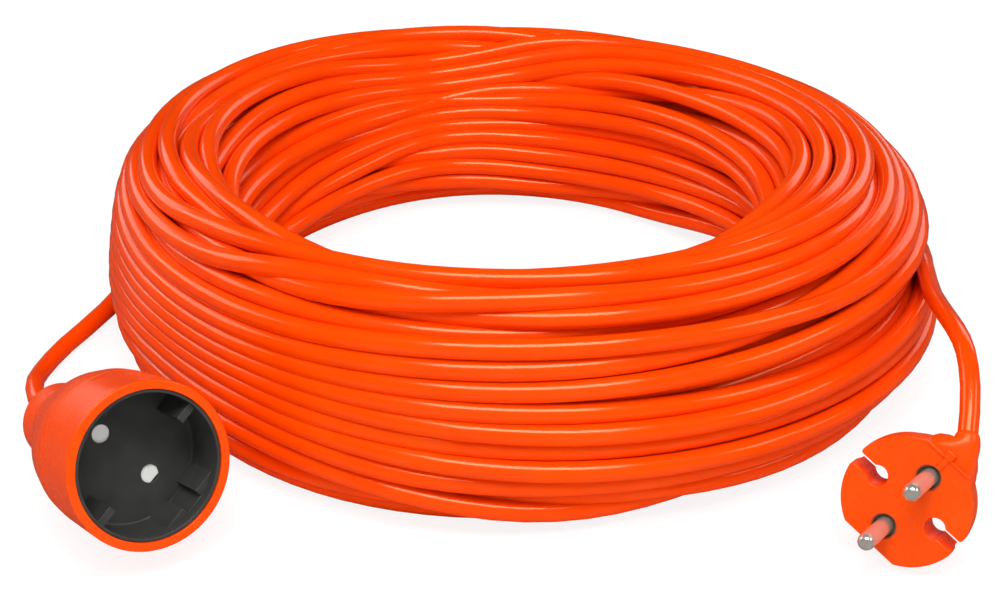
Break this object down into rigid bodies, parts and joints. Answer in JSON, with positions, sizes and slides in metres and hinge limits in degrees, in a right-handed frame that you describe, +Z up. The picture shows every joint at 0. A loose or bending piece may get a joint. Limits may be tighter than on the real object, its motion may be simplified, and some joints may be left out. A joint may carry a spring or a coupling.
{
  "type": "extension cord",
  "caption": "Orange extension cord wound into a round hank, with a round trailing socket with a child-proof shutter at one end and a flat round plug at the other.",
  "frame": {"origin": "centre of the whole part's footprint, on the floor under the hank", "axes": "+Z up, -Y towards the front where the plug and the socket lie, +X towards the plug"},
  "size_m": [0.283, 0.2965, 0.064],
  "materials": {
    "moulded_orange": "orange soft PVC moulding, satin",
    "cord_sheath": "orange PVC sheath, extruded, glossy",
    "black_insert": "moulded dark grey, fine texture",
    "carrier_plastic": "moulded dark grey",
    "shutter_plastic": "moulded light grey",
    "bridge_plastic": "moulded dark brown",
    "pin_nickel": "nickel-plated brass, turned",
    "sleeve_brass": "rolled brass strip",
    "spring_steel": "bent steel strip",
    "copper_strands": "bared copper strands",
    "core_brown": "brown PVC insulation",
    "core_blue": "blue PVC insulation"
  },
  "bodies": {
    "cord_set": {"socket_jacket": "moulded_orange", "socket_insert": "black_insert", "contact_carrier": "carrier_plastic", "contact_live": "sleeve_brass", "contact_neutral": "sleeve_brass", "shutter_spring": "spring_steel", "socket_strands_brown": "copper_strands", "socket_strands_blue": "copper_strands", "socket_core_brown": "core_brown", "socket_core_blue": "core_blue", "socket_lead": "cord_sheath", "cord_coil": "cord_sheath", "coil_core": "cord_sheath", "plug_lead": "cord_sheath", "plug_body": "moulded_orange", "pin_bridge": "bridge_plastic", "pin_live": "pin_nickel", "pin_neutral": "pin_nickel", "plug_strands_brown": "copper_strands", "plug_strands_blue": "copper_strands", "plug_core_brown": "core_brown", "plug_core_blue": "core_blue"},
    "shutter_plate": {"shutter": "shutter_plastic"}
  },
  "joints": [
    {"name": "shutter_slide", "type": "slide", "parent": "cord_set", "child": "shutter_plate", "axis": [0.5757, 0.5683, 0.588], "range_m": [0, 0.0062], "stiffness_N_per_m": 60, "springref_m": -0.002, "deforming": ["shutter_spring"]}
  ]
}
